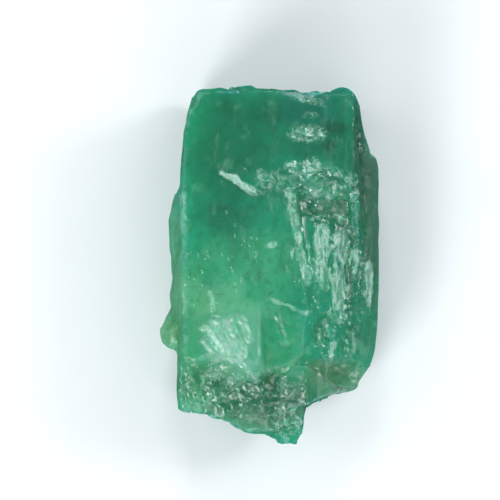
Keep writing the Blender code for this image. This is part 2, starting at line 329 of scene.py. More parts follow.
@dataclass
class CrystalSkin:
    """The crystal's fine skin, worked in millimetres over a copy of its solid."""

    # Noise vectors follow the clock unless they are seeded.
    seed: int = 11
    voxel: float = 0.05
    weld: float = 0.0005
    triangles: int = 190000
    calm_steps: int = 2
    calm_factor: float = 0.5
    crisp_degrees: float = 24.0
    base_guard: Point = (0.05, 0.25)
    striae_across: float = 5.5
    striae_along: float = 0.35
    striae_height: float = 0.014
    end_facet_grain: float = 0.5
    end_facet_height: float = 0.06
    slab_stretch: float = 3.5
    full_break: float = 0.05
    # Each of these is waves a millimetre and how far they reach.
    swell: Point = (1.7, 0.025)
    end_lumps: Point = (1.6, 0.05)
    slab_wander: Point = (0.8, 0.6)
    plateau: Plateau = Plateau()
    # The eighth value of a patch, where given, is how strongly a pale glint is painted on it.
    patches: tuple[Patch, ...] = (
        Patch("scarp_arm", Break.RUBBLE, (-0.7, 3.05), (0.5, 0.14), 0.05, 0.3, -0.52, 0.8),
        Patch("scarp_left", Break.RUBBLE, (0.0, 3.38), (0.75, 0.38), 0.09, 0.28, -0.2, 0.65),
        Patch("scarp_cap", Break.RUBBLE, (0.86, 3.94), (0.34, 0.24), 0.08, 0.3, 0.0, 1.2),
        Patch("scarp_mint", Break.RUBBLE, (1.7, 3.8), (0.5, 0.48), 0.08, 0.36, 0.0, 1.2),
        Patch("scarp_wing", Break.RUBBLE, (2.5, 3.75), (0.6, 0.22), 0.08, 0.26, -0.3, 0.7),
        Patch("scarp_right", Break.RUBBLE, (3.15, 3.1), (0.48, 0.6), 0.09, 0.26, 0.0, 0.85),
        Patch("scarp_low", Break.RUBBLE, (2.1, 2.95), (0.8, 0.45), 0.09, 0.26, 0.0, 0.55),
        Patch("scarp_wall", Break.RUBBLE, (2.4, 2.45), (1.3, 0.7), 0.014, 0.28),
        Patch("stem", Break.RUBBLE, (0.85, 2.7), (0.27, 0.75), 0.08, 0.26, 0.1, 0.8),
        Patch("ridge", Break.RUBBLE, (1.08, 1.5), (0.2, 1.0), 0.07, 0.24, 0.1, 0.5),
        Patch("ridge_block", Break.SPLINTER, (1.14, 1.08), (0.15, 0.28), 0.0, 0.4, 0.0, 1.6),
        Patch("under_scarp_left", Break.RUBBLE, (1.95, 1.95), (0.34, 0.14), 0.07, 0.25, 0.15, 1.1),
        Patch("under_scarp_right", Break.RUBBLE, (2.78, 1.92), (0.32, 0.14), 0.07, 0.25, -0.2, 1.1),
        Patch("upper_chip", Break.RUBBLE, (1.5, 5.24), (0.85, 0.36), 0.1, 0.32, 0.0, 1.1),
        Patch("upper_small_chip", Break.RUBBLE, (1.62, 5.98), (0.38, 0.16), 0.08, 0.25, 0.0, 0.6),
        Patch("top_edge", Break.RUBBLE, (1.42, 6.6), (1.0, 0.2), 0.08, 0.3, -0.25, 0.7),
        Patch("right_edge", Break.RUBBLE, (3.45, 5.0), (0.22, 2.2), 0.06, 0.3, 0.0, 0.1),
        Patch("striated_face", Break.SPLINTER, (2.6, -0.35), (1.15, 1.85), 0.14, 0.4, 0.0, 0.45),
        Patch("slab_left", Break.SPLINTER, (2.1, 0.78), (0.42, 0.95), 0.0, 0.5, 0.0, 1.3),
        Patch("slab_middle", Break.SPLINTER, (2.9, 0.8), (0.42, 0.8), 0.0, 0.4, 0.0, 1.25),
        Patch("slab_lower", Break.SPLINTER, (2.8, -1.0), (0.42, 1.2), 0.0, 0.35, 0.1, 0.95),
        Patch("slab_right", Break.SPLINTER, (3.4, 0.2), (0.22, 0.6), 0.0, 0.3, 0.0, 0.9),
        Patch("right_glint", Break.SPLINTER, (3.98, -0.75), (0.2, 1.15), 0.06, 0.35, 0.0, 0.9),
        Patch("lower_right", Break.SPLINTER, (2.7, -2.9), (1.0, 1.1), 0.11, 0.35, 0.35, 0.3),
        Patch("ridge_fan", Break.SPLINTER, (1.12, 0.0), (0.42, 0.9), 0.07, 0.22, 0.2, 0.5),
        Patch("plateau", Break.GLAZE, (-1.65, -3.0), (1.1, 1.2), 0.02, 0.35, 0.63, 0.25),
        Patch("lower_band", Break.RUBBLE, (-2.0, -4.7), (1.7, 0.9), 0.018, 0.28),
        Patch("lower_crease", Break.RUBBLE, (-2.9, -3.74), (0.85, 0.22), 0.06, 0.25, 0.0, 0.1),
        Patch("lower_left_rib", Break.RUBBLE, (-2.26, -4.34), (0.5, 0.3), 0.06, 0.3, 0.0, 0.6),
        Patch("lower_left_chip", Break.RUBBLE, (-1.46, -4.66), (0.38, 0.38), 0.05, 0.3, 0.0, 0.55),
        Patch("lower_left_break", Break.RUBBLE, (-2.34, -5.16), (0.75, 0.36), 0.06, 0.28, 0.0, 0.42),
        Patch("lower_end", Break.RUBBLE, (-1.6, -5.5), (2.6, 0.7), 0.018, 0.3, -0.2),
        Patch("strip_end", Break.RUBBLE, (0.8, -4.15), (0.95, 0.28), 0.05, 0.25, 0.1, 0.15),
        Patch("lower_middle", Break.RUBBLE, (0.4, -4.95), (0.95, 0.42), 0.08, 0.26, 0.0, 0.38),
        Patch("tail", Break.RUBBLE, (0.75, -6.0), (0.85, 0.75), 0.08, 0.28, 0.0, 0.6),
        Patch("chamfer", Break.RUBBLE, (2.9, -4.6), (1.2, 0.5), 0.03, 0.3, 0.0, 0.1),
        Patch("left_speckle", Break.GLITTER, (-2.5, -0.5), (1.5, 1.5), 0.012, 0.25, 0.0, 0.5),
        Patch("middle_speckle", Break.GLITTER, (-0.9, 1.0), (0.5, 1.6), 0.012, 0.25, 0.6, 0.4),
        Patch("low_speckle", Break.GLITTER, (-1.9, -4.9), (2.4, 1.2), 0.01, 0.25, 0.0, 0.75),
        Patch("right_speckle", Break.GLITTER, (2.6, -0.6), (1.4, 3.4), 0.0, 0.25, 0.0, 0.6),
        Patch("left_edge", Break.RUBBLE, (-3.5, -1.0), (0.3, 5.6), 0.05, 0.3, 0.0, 0.1),
        Patch("left_line", Break.RUBBLE, (-3.38, 2.2), (0.07, 0.95), 0.03, 0.3, 0.0, 0.5),
        Patch("top_left_edge", Break.RUBBLE, (-3.3, 5.4), (0.25, 1.8), 0.02, 0.3),
        Patch("wisp", Break.RUBBLE, (-2.3, -1.4), (0.1, 0.5), 0.03, 0.3, 0.0, 0.5),
        Patch("spot", Break.GLAZE, (0.08, 0.82), (0.26, 0.14), 0.03, 0.25, 0.2, 1.0),
    )
    # The last value of a ledge is how strongly a pale glint is painted on its steep side.
    ledges: tuple[Ledge, ...] = (
        Ledge("scarp_arm", (-2.05, 3.78), (-0.5, 2.9), 0.09, 0.2, 0.7, 1.1),
        Ledge("ridge_upper", (0.8, 2.9), (1.22, 0.6), 0.08, 0.18, 0.3, 0.7),
        Ledge("ridge_lower", (1.18, 0.8), (1.56, -0.9), 0.08, 0.2, 0.3, 0.5),
        Ledge("strip_arc", (1.7, -1.95), (-0.2, -1.3), 0.05, 0.15, 0.7, 0.5),
        Ledge("left_line", (-3.36, 1.2), (-3.4, 3.1), 0.06, 0.16, 0.7, 0.4),
        Ledge("wisp", (-2.26, -1.9), (-2.34, -0.9), 0.04, 0.16, 0.7, 0.6),
        Ledge("streak_1", (-2.7, -2.3), (-1.75, -3.6), 0.09, 0.26, 0.4, 0.85),
        Ledge("streak_2", (-2.35, -2.0), (-1.3, -3.7), 0.09, 0.24, 0.35, 0.85),
        Ledge("streak_3", (-1.9, -2.0), (-1.0, -3.95), 0.09, 0.22, 0.35, 0.9),
        Ledge("streak_4", (-1.1, -3.75), (-0.45, -4.75), 0.07, 0.14, 0.35, 0.6),
        Ledge("streak_7", (-2.1, -2.6), (-1.5, -3.7), 0.06, 0.13, 0.3, 0.8),
        Ledge("streak_8", (-1.7, -2.3), (-1.1, -3.5), 0.06, 0.12, 0.3, 0.7),
        Ledge("streak_5", (-2.8, -2.9), (-1.9, -3.9), 0.07, 0.16, 0.3, 0.7),
        Ledge("streak_6", (-1.35, -1.9), (-0.8, -3.2), 0.06, 0.15, 0.3, 0.45),
        Ledge("strip_streak", (0.75, -3.2), (0.3, -1.8), 0.04, 0.12, 0.3, 0.35),
    )

    def facets(self, place: Vector, grain: float) -> float:
        """The height of a facet: in each cell, a plane with its own tilt.

        Args:
            place: A point in millimetres.
            grain: The size of a facet in millimetres.

        Returns:
            A height from about -1 to 1.
        """
        spot = place / grain
        cell = noise.voronoi(spot)[1][0]
        return noise.noise_vector(cell * 3.7).dot(spot - cell) * 2.0

    def crinkles(self, place: Vector, grain: float) -> float:
        """The height of a crumpled, foil-like break: sharp crests between hollows.

        Args:
            place: A point in millimetres.
            grain: The distance between crests in millimetres.

        Returns:
            A height from about -1 to 1.
        """
        spot = place / grain
        warp = noise.noise_vector(spot * 0.6) * 0.7
        broad = 1.0 - 2.2 * abs(noise.noise(spot * 0.8 + warp))
        fine = 1.0 - 2.2 * abs(noise.noise(spot * 1.9 + warp * 2.0))
        return (broad + fine * 0.45) - 0.6

    def slabs(self, place: Vector, patch: Patch) -> float:
        """The height of long flat slabs that run along a patch and meet in crisp creases.

        Args:
            place: A point in millimetres.
            patch: The patch, for its turn and grain.

        Returns:
            A height from about -1 to 1.
        """
        across = place.x * math.cos(patch.turn) + place.y * math.sin(patch.turn)
        along = place.y * math.cos(patch.turn) - place.x * math.sin(patch.turn)
        waves, reach = self.slab_wander
        wander = noise.noise(Vector((across * waves, along * waves, 3.0))) * reach
        rib = across / patch.grain + wander
        crease = math.floor(rib)
        share = rib - crease
        low, high = (self.crest(line, along, patch.grain) for line in (crease, crease + 1))
        return low + (high - low) * share + self.facets(place, patch.grain * 0.5) * 0.12

    def crest(self, line: int, along: float, grain: float) -> float:
        """The height of one crease at a place along it.

        Args:
            line: The crease's number.
            along: The place along it, in millimetres.
            grain: The distance between creases in millimetres.

        Returns:
            A height from -1 to 1 that changes evenly from knot to knot.
        """
        spot = along / (grain * self.slab_stretch) + chance(line, 7, 1)
        knot = math.floor(spot)
        low, high = chance(line, knot, 3), chance(line, knot + 1, 3)
        return low + (high - low) * (spot - knot)

    def end(self, normal: Vector) -> float:
        """How far the skin belongs to one of the broken ends.

        Args:
            normal: The skin's normal.

        Returns:
            A share from 0 to 1.
        """
        return ramp(abs(normal.y), 0.45, 0.8)

    def shares(self, place: Vector, upper: float) -> list[tuple[Patch, float]]:
        """Find the patches that reach a point.

        Args:
            place: A point in millimetres.
            upper: How far the skin faces up there, from 0 to 1.

        Returns:
            Each patch that reaches the point, with its share.
        """
        if upper == 0.0:
            return []
        found = ((patch, patch.share(place) * upper) for patch in self.patches)
        return [(patch, share) for patch, share in found if share > 0.0]

    def relief(self, place: Vector, normal: Vector, upper: float,
               shares: list[tuple[Patch, float]]) -> float:
        """How far the skin stands out at a point, without the ledges.

        Args:
            place: A point in millimetres.
            normal: The skin's normal there.
            upper: How far the skin faces up there, from 0 to 1.
            shares: The patches that reach the point.

        Returns:
            A height in millimetres, along the normal.
        """
        end = self.end(normal)
        calm = upper * (1.0 - ramp(place.x, 1.0, 1.6))
        across, along = self.striae_across, self.striae_along
        striae = noise.noise(Vector((place.x * across, place.y * along, place.z * across)))
        total = striae * self.striae_height * (1.0 - end) * (1.0 - 0.9 * calm)
        total += noise.noise(place * self.swell[0]) * self.swell[1]
        lumps = noise.fractal(place * self.end_lumps[0], 0.8, 2.0, 4) * self.end_lumps[1]
        total += end * (lumps + self.facets(place, self.end_facet_grain) * self.end_facet_height)
        for patch, share in shares:
            if patch.kind is Break.RUBBLE:
                broad = self.facets(place, patch.grain * 1.3)
                fine = self.facets(place, patch.grain * 0.55)
                crumpled = self.crinkles(place, patch.grain)
                total += share * patch.depth * (broad + fine * 0.2 + crumpled * 0.3)
            else:
                total += share * patch.depth * self.slabs(place, patch)
        return total

    def carve(self, mesh: bpy.types.Mesh) -> None:
        """Work the relief into the skin and note on it how broken it is, how strongly glints are painted
        on it and where the plateau's sheen is painted.

        Args:
            mesh: The even skin, in millimetres.
        """
        spots = [(vertex.co.copy(), vertex.normal.copy()) for vertex in mesh.vertices]
        broken = {kind: [] for kind in Break}
        glint_paint = {kind: [] for kind in Break}
        pale = []
        for vertex, (place, normal) in zip(mesh.vertices, spots):
            upper = ramp(normal.z, 0.15, 0.6)
            shares = self.shares(place, upper)
            lifts = [ledge.effect(place) for ledge in self.ledges] if upper else [(0.0, 0.0)]
            height = self.relief(place, normal, upper, shares) + upper * sum(lift for lift, _ in lifts)
            vertex.co += normal * height * ramp(place.z, *self.base_guard)
            vertex.co.z = max(vertex.co.z, 0.0)
            # The ledges' painted glints count with the glaze kind, and the broken ends count as rubble.
            glaze = {Break.GLAZE: upper * max(painted_glint for _, painted_glint in lifts)}
            torn = {Break.RUBBLE: self.end(normal)}
            # The plateau's pale sheen, painted where the skin faces up.
            pale.append(upper * self.plateau.share(place))
            for kind in Break:
                own = [(patch, share) for patch, share in shares if patch.kind is kind]
                rough = [share * min(1.0, patch.depth / self.full_break) for patch, share in own]
                broken[kind].append(max(*rough, torn.get(kind, 0.0), 0.0))
                painted_glint = [share * patch.painted_glint for patch, share in own]
                glint_paint[kind].append(max(*painted_glint, glaze.get(kind, 0.0), 0.0))
        layers = {kind.painted_glint_layer: values for kind, values in glint_paint.items()}
        layers |= {kind.layer: values for kind, values in broken.items()}
        layers["broken"] = [max(values) for values in zip(*broken.values())]
        layers["pale"] = pale
        for name, values in layers.items():
            layer = mesh.attributes.new(name, "FLOAT", "POINT")
            layer.data.foreach_set("value", values)

    def cleave(self, piece: bpy.types.Object, kind: Break) -> None:
        """Turn the skin that one kind of break covers into larger flat facets with crisp edges.

        Args:
            piece: The skin, whose vertices of that kind carry the selection.
            kind: The kind of break, for the share of the skin that is kept.
        """
        make_active(piece)
        bpy.ops.object.mode_set(mode="EDIT")
        bpy.ops.mesh.select_mode(type="VERT")
        bpy.ops.mesh.select_all(action="DESELECT")
        bpy.ops.object.mode_set(mode="OBJECT")
        layer = piece.data.attributes[kind.layer].data
        piece.data.vertices.foreach_set("select", [item.value > BROKEN for item in layer])
        bpy.ops.object.mode_set(mode="EDIT")
        bpy.ops.mesh.decimate(ratio=kind.kept)
        bpy.ops.object.mode_set(mode="OBJECT")

    def drop_crumbs(self, piece: bpy.types.Object) -> None:
        """Delete the crumbs that the thinning cuts loose from the skin.

        Args:
            piece: The skin; the leftmost point is on its main part.
        """
        mesh = piece.data
        leftmost = min(range(len(mesh.vertices)), key=lambda index: mesh.vertices[index].co.x)
        make_active(piece)
        bpy.ops.object.mode_set(mode="EDIT")
        bpy.ops.mesh.select_mode(type="VERT")
        bpy.ops.mesh.select_all(action="DESELECT")
        bpy.ops.object.mode_set(mode="OBJECT")
        mesh.vertices[leftmost].select = True
        bpy.ops.object.mode_set(mode="EDIT")
        bpy.ops.mesh.select_linked()
        bpy.ops.mesh.select_all(action="INVERT")
        bpy.ops.mesh.delete(type="VERT")
        bpy.ops.object.mode_set(mode="OBJECT")
        LOG.info("crystal_skin: %d points left without crumbs", len(mesh.vertices))

    def build(self) -> bpy.types.Object:
        """Make the skin.

        Returns:
            The finished piece, at the origin, in metres.
        """
        noise.seed_set(self.seed)
        piece = bpy.data.objects.new("crystal_skin", frame["nodes"][NODE].data.copy())
        bpy.context.scene.collection.objects.link(piece)
        piece.data.transform(Matrix.Scale(1.0 / MM, 4))
        make_active(piece)
        bpy.ops.object.mode_set(mode="EDIT")
        bpy.ops.mesh.select_all(action="SELECT")
        bpy.ops.mesh.remove_doubles(threshold=self.weld)
        bpy.ops.object.mode_set(mode="OBJECT")

        remesh = piece.modifiers.new("even_skin", "REMESH")
        remesh.mode = "VOXEL"
        remesh.voxel_size = self.voxel
        bpy.ops.object.modifier_apply(modifier=remesh.name)
        calm = piece.modifiers.new("calm", "SMOOTH")
        calm.factor = self.calm_factor
        calm.iterations = self.calm_steps
        bpy.ops.object.modifier_apply(modifier=calm.name)

        mesh = piece.data
        self.carve(mesh)
        for kind in Break:
            self.cleave(piece, kind)
        mesh.calc_loop_triangles()
        LOG.info("crystal_skin: %d triangles before thinning", len(mesh.loop_triangles))
        thin = piece.modifiers.new("thin_flats", "DECIMATE")
        thin.ratio = min(1.0, self.triangles / len(mesh.loop_triangles))
        thin.use_collapse_triangulate = True
        make_active(piece)
        bpy.ops.object.modifier_apply(modifier=thin.name)
        self.drop_crumbs(piece)
        bpy.ops.object.shade_smooth_by_angle(angle=math.radians(self.crisp_degrees))
        # Each face gets a random value, which sets how brightly the glint painted on a rubble facet
        # shows.
        tone = mesh.attributes.new("tone", "FLOAT", "FACE")
        tone.data.foreach_set("value", [abs(chance(face.index, 5, 2)) for face in mesh.polygons])
        rubble = mesh.attributes[Break.RUBBLE.layer].data
        for face in mesh.polygons:
            if min(rubble[corner].value for corner in face.vertices) > BROKEN:
                face.use_smooth = False
        mesh.transform(Matrix.Scale(MM, 4))
        LOG.info("crystal_skin: %d faces", len(mesh.polygons))
        return piece


class Sheet:
    """A node tree with short calls for the nodes that a mineral needs."""

    def __init__(self, tree: bpy.types.NodeTree) -> None:
        """Keep the tree that the calls add to.

        Args:
            tree: A material's or a group's node tree.
        """
        self.tree = tree

    def add(self, kind: str, **values: object) -> bpy.types.Node:
        """Add a node.

        Args:
            kind: The node's type.
            values: Properties to set, by name.

        Returns:
            The new node.
        """
        node = self.tree.nodes.new(kind)
        for name, value in values.items():
            setattr(node, name, value)
        return node

    def feed(self, node: bpy.types.Node, socket: str | int, value: object) -> None:
        """Link a socket to an input, or set the input to a plain value.

        Args:
            node: The node that has the input.
            socket: The input's name or number.
            value: A socket or a plain value.
        """
        if isinstance(value, Socket):
            self.tree.links.new(value, node.inputs[socket])
        else:
            node.inputs[socket].default_value = value

    def maths(self, operation: str, first: object, second: object = 0.0) -> Socket:
        """Combine two values.

        Args:
            operation: Blender's name for the operation.
            first: A socket or a number.
            second: A socket or a number.

        Returns:
            The result's socket.
        """
        node = self.add("ShaderNodeMath", operation=operation)
        self.feed(node, 0, first)
        self.feed(node, 1, second)
        return node.outputs[0]

    def mix(self, share: object, below: object, above: object) -> Socket:
        """Mix two colours.

        Args:
            share: How much of the second, from 0 to 1.
            below: The first colour.
            above: The second colour.

        Returns:
            The mixed colour's socket.
        """
        node = self.add("ShaderNodeMix", data_type="RGBA")
        self.feed(node, 0, share)
        self.feed(node, 6, below)
        self.feed(node, 7, above)
        return node.outputs[2]

    def rise(self, value: object, low: float, high: float, start: float = 0.0,
             end: float = 1.0) -> Socket:
        """Map a value softly from one range to another.

        Args:
            value: The value's socket.
            low: Where the rise starts.
            high: Where it ends.
            start: The result at `low`.
            end: The result at `high`.

        Returns:
            The mapped value's socket.
        """
        node = self.add("ShaderNodeMapRange", interpolation_type="SMOOTHSTEP")
        self.feed(node, "Value", value)
        self.feed(node, "From Min", low)
        self.feed(node, "From Max", high)
        self.feed(node, "To Min", start)
        self.feed(node, "To Max", end)
        return node.outputs[0]

    def cloud(self, place: object, scale: float, detail: float, stretch: tuple[float, float, float],
              offset: float = 0.0) -> Socket:
        """Smooth noise, stretched along an axis.

        Args:
            place: The position's socket, in millimetres.
            scale: Waves a millimetre.
            detail: Finer waves added to it.
            stretch: A factor for each axis; a small one draws the noise out.
            offset: A shift, so that two clouds differ.

        Returns:
            The noise's socket, about 0.5 in the middle.
        """
        turn = self.add("ShaderNodeMapping")
        self.feed(turn, "Vector", place)
        self.feed(turn, "Location", (offset, offset * 0.7, offset * 1.3))
        self.feed(turn, "Scale", stretch)
        node = self.add("ShaderNodeTexNoise")
        self.feed(node, "Vector", turn.outputs[0])
        self.feed(node, "Scale", scale)
        self.feed(node, "Detail", detail)
        self.feed(node, "Roughness", 0.55)
        return node.outputs[0]


def zone_group() -> bpy.types.NodeTree:
    """Build the group that marks a soft ellipse, seen from above.

    Returns:
        A group with the position, a centre and two radii in, and a mask out.
    """
    tree = bpy.data.node_groups.new("soft_zone", "ShaderNodeTree")
    for name, kind in (("Place", "NodeSocketVector"), ("Centre", "NodeSocketVector"),
                       ("Radii", "NodeSocketVector"), ("Waver", "NodeSocketFloat")):
        tree.interface.new_socket(name=name, in_out="INPUT", socket_type=kind)
    tree.interface.new_socket(name="Mask", in_out="OUTPUT", socket_type="NodeSocketFloat")
    sheet = Sheet(tree)
    come = sheet.add("NodeGroupInput")
    leave = sheet.add("NodeGroupOutput")
    offset = sheet.add("ShaderNodeVectorMath", operation="SUBTRACT")
    sheet.feed(offset, 0, come.outputs["Place"])
    sheet.feed(offset, 1, come.outputs["Centre"])
    flat = sheet.add("ShaderNodeVectorMath", operation="MULTIPLY")
    sheet.feed(flat, 0, offset.outputs[0])
    sheet.feed(flat, 1, (1.0, 1.0, 0.0))
    scaled = sheet.add("ShaderNodeVectorMath", operation="DIVIDE")
    sheet.feed(scaled, 0, flat.outputs[0])
    sheet.feed(scaled, 1, come.outputs["Radii"])
    reach = sheet.add("ShaderNodeVectorMath", operation="LENGTH")
    sheet.feed(reach, 0, scaled.outputs[0])
    ragged = sheet.maths("ADD", reach.outputs["Value"], come.outputs["Waver"])
    sheet.feed(leave, "Mask", sheet.rise(ragged, 0.35, 1.15, 1.0, 0.0))
    return tree


@dataclass(frozen=True)
class Tint:
    """A soft patch of another colour in the stone, in millimetres; a few paint shade, a shadow, a sheen
    and a reflection rather than the stone's own colour.
    """

    name: str
    colour: Colour
    centre: Point
    radii: Point
    share: float
    dull: float = 0.0


@dataclass(frozen=True)
class Drift:
    """Another colour that drifts all through the stone, in waves a millimetre."""

    name: str
    colour: Colour
    waves: float
    detail: float
    along: float
    offset: float
    band: Point
    share: float


DEEP = srgb(8, 124, 90)
# A pale milky colour: the real milky veils, and the painted sheen on the plateau.
MILK_AND_SHEEN = srgb(160, 236, 206)


@dataclass(frozen=True)
class EmeraldStone:
    """Cloudy green beryl: its colours, with painted glints, sheen, shade, a shadow and a reflection
    among them, its clarity and its polish.
    """

    body: Colour = srgb(34, 180, 142)
    drifts: tuple[Drift, ...] = (
        Drift("clouds", DEEP, 0.55, 4.0, 0.55, 4.0, (0.52, 0.75), 0.5),
        Drift("veils", MILK_AND_SHEEN, 1.6, 6.0, 0.7, 9.0, (0.56, 0.72), 0.22),
        Drift("mottle", DEEP, 3.6, 6.0, 0.8, 13.0, (0.48, 0.66), 0.3),
        Drift("specks", srgb(14, 92, 66), 3.2, 3.0, 1.6, 2.0, (0.66, 0.74), 0.45),
    )
    tints: tuple[Tint, ...] = (
        Tint("dark_upper_left", srgb(4, 144, 106), (-1.8, 5.0), (2.9, 3.0), 0.8),
        Tint("teal_top", srgb(18, 140, 124), (2.2, 6.3), (2.4, 1.3), 0.75),
        # Painted shadow: the top edge is darkened as if a finger shaded it.
        Tint("painted_shadow_top_edge", srgb(6, 116, 92), (0.5, 6.5), (3.4, 0.8), 0.45),
        Tint("dark_top", srgb(10, 136, 108), (2.0, 5.0), (1.8, 1.1), 0.7),
        # Painted shade: the right face and its strips are tinted darker, standing in for the shade on
        # that side and damping the lamps' reflection there; where a dull value is given, these tints
        # also roughen the stone.
        Tint("painted_shade_right", srgb(24, 124, 100), (3.7, 1.0), (1.3, 4.8), 0.75),
        Tint("dark_strip", srgb(0, 98, 72), (4.1, 3.0), (0.6, 3.0), 0.85, 0.3),
        Tint("rough_painted_shade_lower_right", srgb(30, 138, 108), (4.0, -2.9), (0.8, 1.6), 0.6, 0.3),
        Tint("rough_painted_shade_right_strip", srgb(0, 100, 74), (4.15, 0.6), (0.45, 3.8), 0.8, 0.25),
        Tint("bright_middle", srgb(96, 214, 166), (-0.6, -0.2), (2.2, 2.4), 0.7),
        # Painted sheen: the plateau is tinted paler, as where it catches the light.
        Tint("pale_plateau", srgb(112, 214, 174), (-1.7, -3.0), (1.9, 1.9), 0.35),
        Tint("dark_right_top", srgb(8, 120, 92), (3.1, 4.6), (0.9, 2.2), 0.7),
        Tint("right_brink", srgb(6, 96, 74), (3.5, 4.6), (0.35, 3.0), 0.75),
        # Painted reflection: the lower right corner is tinted olive, for a thumb's colour seen in its
        # thin edge.
        Tint("olive_corner", srgb(134, 168, 136), (2.9, -4.6), (1.9, 1.1), 0.6),
        Tint("green_strip", srgb(50, 196, 144), (0.5, -2.9), (0.9, 1.9), 0.8),
        Tint("pale_left", srgb(120, 206, 164), (-4.1, -0.5), (0.9, 4.4), 0.5),
        Tint("dark_streak_1", srgb(6, 98, 78), (2.66, 5.5), (0.7, 0.28), 0.65),
        Tint("dark_streak_2", srgb(6, 98, 78), (2.45, 4.74), (0.5, 0.3), 0.65),
        Tint("nub", srgb(140, 206, 152), (-4.1, -2.6), (0.6, 0.9), 0.6),
        Tint("warm_lower", srgb(118, 178, 108), (-1.2, -4.9), (4.6, 1.7), 0.2),
        Tint("pale_middle_left", srgb(150, 228, 186), (-2.2, -1.3), (1.6, 1.0), 0.5),
        Tint("warm_left", srgb(120, 188, 124), (-3.3, -2.0), (1.4, 3.4), 0.3),
        Tint("dark_tail", srgb(6, 106, 76), (0.5, -5.5), (1.7, 1.3), 0.78),
        Tint("dark_middle", srgb(10, 130, 98), (-1.6, 1.9), (1.6, 0.9), 0.5),
        Tint("green_under_scarp", srgb(0, 146, 104), (2.4, 2.3), (1.5, 0.7), 0.85),
        Tint("dark_low_hollow", srgb(6, 126, 92), (-0.6, -5.2), (1.5, 0.9), 0.75),
        Tint("green_end", srgb(16, 136, 98), (-1.2, -6.0), (3.2, 0.9), 0.65),
        Tint("dark_low_left", srgb(36, 136, 92), (-2.6, -4.7), (1.7, 1.2), 0.75),
    )
    # How strongly the plateau's painted sheen shows.
    plateau_share: float = 0.42
    # The pale colour painted on the broken facets as glints, and the roughness it adds.
    glint_paint: Colour = srgb(200, 253, 233)
    painted_glint_roughness: float = 0.15
    polish: Point = (0.1, 0.26)
    facet_tilt: float = 0.22
    upright: float = 0.9
    least_broken: float = 0.1
    cell_warp: float = 0.16
    grain_strength: float = 0.3
    grain_height: float = 0.00006
    transmission: float = 0.6
    ior: float = 1.577
    sheen: float = 0.36
    absorption: Colour = (0.2, 0.84, 0.68, 1.0)
    density: float = 150.0
    subsurface: float = 1.0
    subsurface_scale: float = 0.005
    subsurface_radius: tuple[float, float, float] = (0.3, 1.0, 0.6)
    # Where each pattern of the painted glint rises from low to high
    rubble_tone: Point = (0.3, 1.0)
    rubble_facing: Point = (0.5, 0.85)
    glaze_fibre: Point = (0.36, 0.58)
    glitter_tone: Point = (0.95, 0.97)
    splinter_spare: Point = (0.0, 0.45)
    splinter_crack: Point = (0.0, 0.1)
    splinter_fibre: Point = (0.4, 0.6)

    def lie(self, sheet: Sheet, place: object, kind: Break) -> Socket:
        """Turn and shrink the position so that a pattern drawn on it runs along the break.

        Args:
            sheet: The material's sheet.
            place: The position's socket, in millimetres.
            kind: The kind of break, for its shrink and turn.

        Returns:
            The turned position's socket.
        """
        node = sheet.add("ShaderNodeMapping", vector_type="TEXTURE")
        sheet.feed(node, "Vector", place)
        sheet.feed(node, "Rotation", (0.0, 0.0, kind.turn))
        sheet.feed(node, "Scale", (1.0, 1.0 / kind.shrink, 1.0))
        return node.outputs[0]

    def cells(self, sheet: Sheet, place: object, kind: Break, feature: str) -> bpy.types.Node:
        """Part the stone into the cells of one kind of break.

        Args:
            sheet: The material's sheet.
            place: The position's socket, in millimetres.
            kind: The kind of break, for its shrink, turn and cells.
            feature: What the cells give, in Blender's words.

        Returns:
            The cells' node.
        """
        lie = self.lie(sheet, place, kind)
        warp = sheet.add("ShaderNodeTexNoise")
        sheet.feed(warp, "Vector", place)
        sheet.feed(warp, "Scale", 5.0)
        shift = sheet.add("ShaderNodeVectorMath", operation="MULTIPLY_ADD")
        sheet.feed(shift, 0, warp.outputs["Color"])
        sheet.feed(shift, 1, (self.cell_warp,) * 3)
        sheet.feed(shift, 2, lie)
        node = sheet.add("ShaderNodeTexVoronoi", feature=feature)
        sheet.feed(node, "Vector", shift.outputs[0])
        sheet.feed(node, "Scale", kind.cells)
        return node

    def painted_glint(self, sheet: Sheet, place: object, kind: Break) -> Socket:
        """Find where a pale glint is painted on one kind of break.

        Rubble's glint is painted facet by facet, most where it faces up. Glitter is a few tiny cells,
        and glaze is fine fibres. Splinters are long cells that fine cracks part and fibres streak.

        Args:
            sheet: The material's sheet.
            place: The position's socket, in millimetres.
            kind: The kind of break.

        Returns:
            The painted glint's socket, from 0 to 1.
        """
        layer = sheet.add("ShaderNodeAttribute", attribute_name=kind.painted_glint_layer).outputs["Fac"]
        if kind is Break.RUBBLE:
            tone = sheet.add("ShaderNodeAttribute", attribute_name="tone").outputs["Fac"]
            facing = sheet.add("ShaderNodeSeparateXYZ")
            sheet.feed(facing, 0, sheet.add("ShaderNodeNewGeometry").outputs["Normal"])
            own = sheet.maths("MULTIPLY", layer, sheet.rise(tone, *self.rubble_tone, 0.12, 1.0))
            up = sheet.rise(facing.outputs[2], *self.rubble_facing, 0.15, 1.0)
            return sheet.maths("MULTIPLY", own, up)
        fibre = sheet.cloud(self.lie(sheet, place, kind), 7.0, 5.0, (1.0, 1.0, 1.0), 21.0)
        if kind is Break.GLAZE:
            return sheet.maths("MULTIPLY", layer, sheet.rise(fibre, *self.glaze_fibre, 0.3, 1.0))
        tone = sheet.add("ShaderNodeSeparateColor")
        sheet.feed(tone, 0, self.cells(sheet, place, kind, "F1").outputs["Color"])
        if kind is Break.GLITTER:
            return sheet.maths("MULTIPLY", layer, sheet.rise(tone.outputs[0], *self.glitter_tone))
        spare = sheet.maths("SUBTRACT", layer, sheet.maths("MULTIPLY", tone.outputs[0], 0.85))
        crack = self.cells(sheet, place, kind, "DISTANCE_TO_EDGE").outputs["Distance"]
        whole = sheet.maths("MULTIPLY", sheet.rise(spare, *self.splinter_spare),
                            sheet.rise(crack, *self.splinter_crack, 0.7, 1.0))
        return sheet.maths("MULTIPLY", whole, sheet.rise(fibre, *self.splinter_fibre, 0.3, 1.0))

